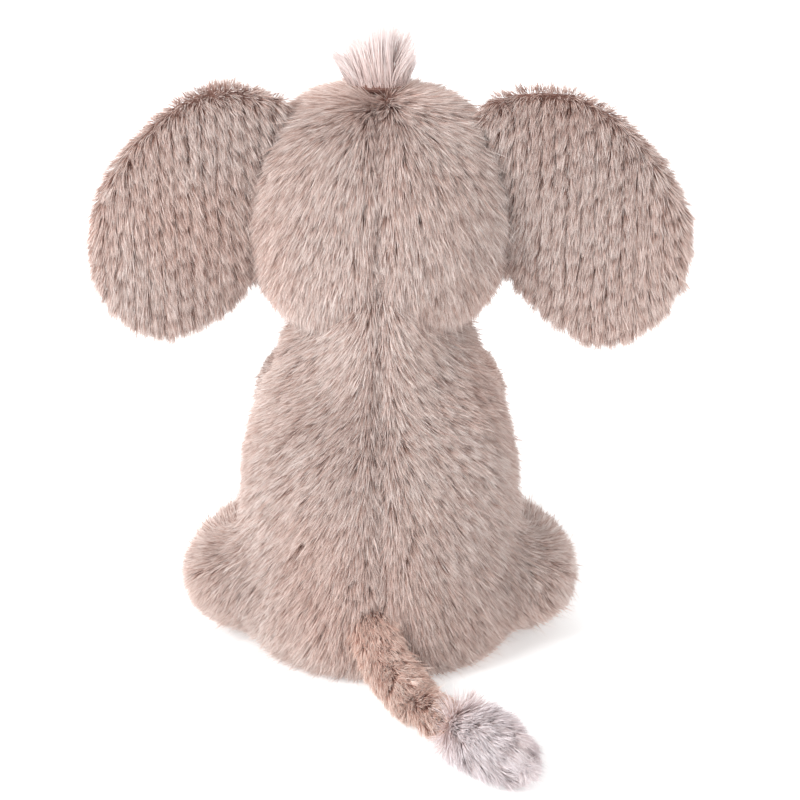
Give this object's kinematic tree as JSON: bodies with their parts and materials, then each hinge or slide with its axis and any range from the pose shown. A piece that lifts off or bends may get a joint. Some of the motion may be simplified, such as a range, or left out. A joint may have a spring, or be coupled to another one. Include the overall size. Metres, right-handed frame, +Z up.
{
  "type": "plush elephant",
  "caption": "Seated long-pile plush elephant with big round ears, a curled trunk, a hair tuft on its crown and a jointed tail with a brush end.",
  "frame": {"origin": "middle of the seat panel, on the surface that the toy sits on", "axes": "+Z up, the elephant faces -Y, its left side is +X"},
  "size_m": [0.2515, 0.2475, 0.28],
  "materials": {
    "fur": "matte",
    "ear_lining": "matte",
    "sole": "matte",
    "tuft": "matte",
    "stuffing": "matte",
    "pellet_bag": "matte",
    "eye": "gloss",
    "washer": "satin"
  },
  "bodies": {
    "torso": {"back_panel_left": "fur", "back_panel_right": "fur", "belly_panel": "fur", "seat_panel": "fur", "torso_stuffing": "stuffing", "pellet_bag": "pellet_bag"},
    "neck": {"neck_band": "fur", "neck_stuffing": "stuffing"},
    "head": {"head_panel_left": "fur", "head_panel_right": "fur", "face_panel": "fur", "head_stuffing": "stuffing", "eye_left": "eye", "eye_right": "eye", "eye_washer_left": "washer", "eye_washer_right": "washer", "hair_tuft": "tuft"},
    "trunk": {"trunk_sleeve": "fur", "trunk_stuffing": "stuffing"},
    "trunk_tip": {"trunk_tip_sleeve": "fur", "trunk_tip_stuffing": "stuffing"},
    "tail": {"tail_sleeve": "fur", "tail_stuffing": "stuffing"},
    "tail_end": {"tail_end_sleeve": "fur", "tail_end_stuffing": "stuffing", "tail_tuft": "tuft"},
    "ear_left": {"ear_back_left": "fur", "ear_lining_left": "ear_lining", "ear_batting_left": "stuffing"},
    "arm_left": {"arm_left_sleeve": "fur", "arm_left_stuffing": "stuffing"},
    "leg_left": {"leg_left_sleeve": "fur", "leg_left_stuffing": "stuffing", "sole_left": "sole"},
    "ear_right": {"ear_back_right": "fur", "ear_lining_right": "ear_lining", "ear_batting_right": "stuffing"},
    "arm_right": {"arm_right_sleeve": "fur", "arm_right_stuffing": "stuffing"},
    "leg_right": {"leg_right_sleeve": "fur", "leg_right_stuffing": "stuffing", "sole_right": "sole"}
  },
  "joints": [
    {"name": "neck_turn", "type": "hinge", "parent": "torso", "child": "neck", "pos_m": [0, 0, 0.146], "axis": [0, 0, 1], "range_deg": [-20, 20], "stiffness_Nm_per_rad": 0.8},
    {"name": "head_nod", "type": "hinge", "parent": "neck", "child": "head", "pos_m": [0, 0, 0.146], "axis": [1, 0, 0], "range_deg": [-10, 10], "stiffness_Nm_per_rad": 1.2},
    {"name": "trunk_lift", "type": "hinge", "parent": "head", "child": "trunk", "pos_m": [0, -0.038, 0.19], "axis": [-1, 0, 0], "range_deg": [-6, 30], "stiffness_Nm_per_rad": 0.12},
    {"name": "trunk_tip_curl", "type": "hinge", "parent": "trunk", "child": "trunk_tip", "pos_m": [0, -0.08, 0.15], "axis": [-1, 0, 0], "range_deg": [-6, 30], "stiffness_Nm_per_rad": 0.05},
    {"name": "tail_swing", "type": "hinge", "parent": "torso", "child": "tail", "pos_m": [0.003, 0.046, 0.027], "axis": [0, 0, 1], "range_deg": [-30, 30], "stiffness_Nm_per_rad": 0.03},
    {"name": "tail_end_bend", "type": "hinge", "parent": "tail", "child": "tail_end", "pos_m": [-0.016, 0.085, 0.01], "axis": [0, 0, 1], "range_deg": [-30, 30], "stiffness_Nm_per_rad": 0.02},
    {"name": "ear_left_flap", "type": "hinge", "parent": "head", "child": "ear_left", "pos_m": [0.0435, 0.004, 0.214], "axis": [0.2425, 0, -0.9701], "range_deg": [-15, 40], "stiffness_Nm_per_rad": 0.06},
    {"name": "arm_left_swing", "type": "hinge", "parent": "torso", "child": "arm_left", "pos_m": [0.035, -0.021, 0.117], "axis": [-1, 0, 0], "range_deg": [-5, 50], "stiffness_Nm_per_rad": 0.12},
    {"name": "leg_left_splay", "type": "hinge", "parent": "torso", "child": "leg_left", "pos_m": [0.059, -0.002, 0.029], "axis": [0, 0, -1], "range_deg": [-8, 25], "stiffness_Nm_per_rad": 0.3},
    {"name": "ear_right_flap", "type": "hinge", "parent": "head", "child": "ear_right", "pos_m": [-0.0435, 0.004, 0.214], "axis": [0.2425, 0, 0.9701], "range_deg": [-15, 40], "stiffness_Nm_per_rad": 0.06},
    {"name": "arm_right_swing", "type": "hinge", "parent": "torso", "child": "arm_right", "pos_m": [-0.035, -0.021, 0.117], "axis": [-1, 0, 0], "range_deg": [-5, 50], "stiffness_Nm_per_rad": 0.12},
    {"name": "leg_right_splay", "type": "hinge", "parent": "torso", "child": "leg_right", "pos_m": [-0.059, -0.002, 0.029], "axis": [0, 0, 1], "range_deg": [-8, 25], "stiffness_Nm_per_rad": 0.3}
  ]
}
